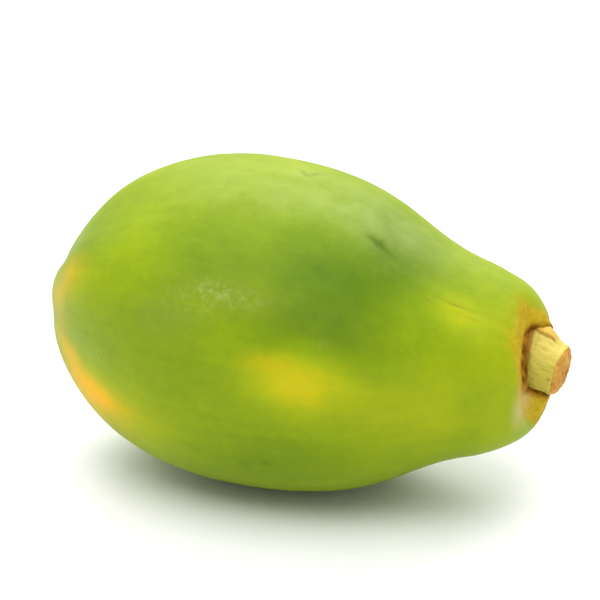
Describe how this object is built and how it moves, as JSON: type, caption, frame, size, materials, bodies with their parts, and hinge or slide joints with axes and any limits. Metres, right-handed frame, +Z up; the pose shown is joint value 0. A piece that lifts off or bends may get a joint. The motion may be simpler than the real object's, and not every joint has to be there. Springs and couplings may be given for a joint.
{
  "type": "papaya",
  "caption": "Whole green papaya lying on its side, ripening yellow in patches, with a rounded belly, a tapered neck and the cut stub of its stalk.",
  "frame": {"origin": "on the small flat spot that the fruit rests on, straight below its centre of mass", "axes": "+X along the fruit from the blossom end towards the stalk end, +Z up"},
  "size_m": [0.1538, 0.094, 0.0936],
  "materials": {
    "papaya_skin": "satin",
    "cut_stalk": "matte"
  },
  "bodies": {
    "root": {"fruit": "papaya_skin", "stem_stub": "cut_stalk"}
  },
  "joints": []
}
